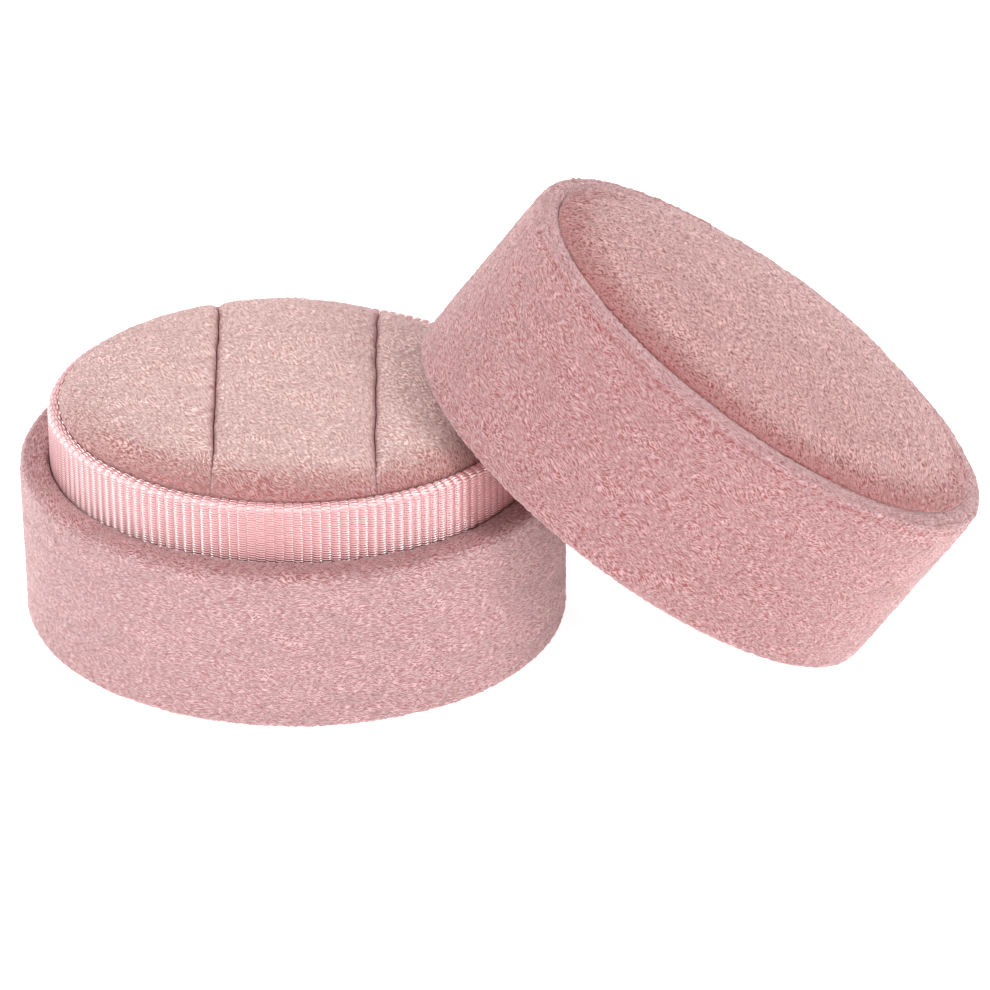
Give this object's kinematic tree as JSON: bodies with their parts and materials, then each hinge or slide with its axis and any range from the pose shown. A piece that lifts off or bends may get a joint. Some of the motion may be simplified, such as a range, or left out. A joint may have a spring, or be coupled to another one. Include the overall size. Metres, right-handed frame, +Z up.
{
  "type": "oval double ring box",
  "caption": "Oval velvet ring box with a slotted pad in a ribbon-wrapped neck, and a cushioned lift-off lid leaning against the base.",
  "frame": {"origin": "centre of the underside of the base, on the table", "axes": "+Z up out of the base, +X along the oval towards the side the lid leans on, +Y across the oval, away from the viewer"},
  "size_m": [0.1317, 0.0579, 0.0653],
  "materials": {
    "case_velvet": "matte",
    "pad_velvet": "matte",
    "lining_velvet": "matte",
    "ribbon": "satin",
    "board": "matte",
    "foam": "matte"
  },
  "bodies": {
    "base": {"base_bottom_cover": "case_velvet", "base_floor_board": "board", "base_wall_core": "board", "base_wall_velvet": "case_velvet", "neck_band_core": "board", "neck_ribbon": "ribbon", "pad_riser_block": "foam", "pad_support_card": "board", "ring_pad_foam_left": "foam", "ring_pad_foam_middle": "foam", "ring_pad_foam_right": "foam", "ring_pad_velvet": "pad_velvet"},
    "lid": {"lid_wall_core": "board", "lid_wall_velvet": "case_velvet", "lid_lining_wall": "lining_velvet", "lid_lining_top": "lining_velvet", "lid_top_board": "board", "lid_cushion_card": "board", "lid_cushion_foam": "foam", "lid_cushion_velvet": "pad_velvet"}
  },
  "joints": [
    {"name": "lid_lift", "type": "slide", "parent": "base", "child": "lid", "axis": [0, 0, 1], "range_m": [0, 0.06]}
  ]
}
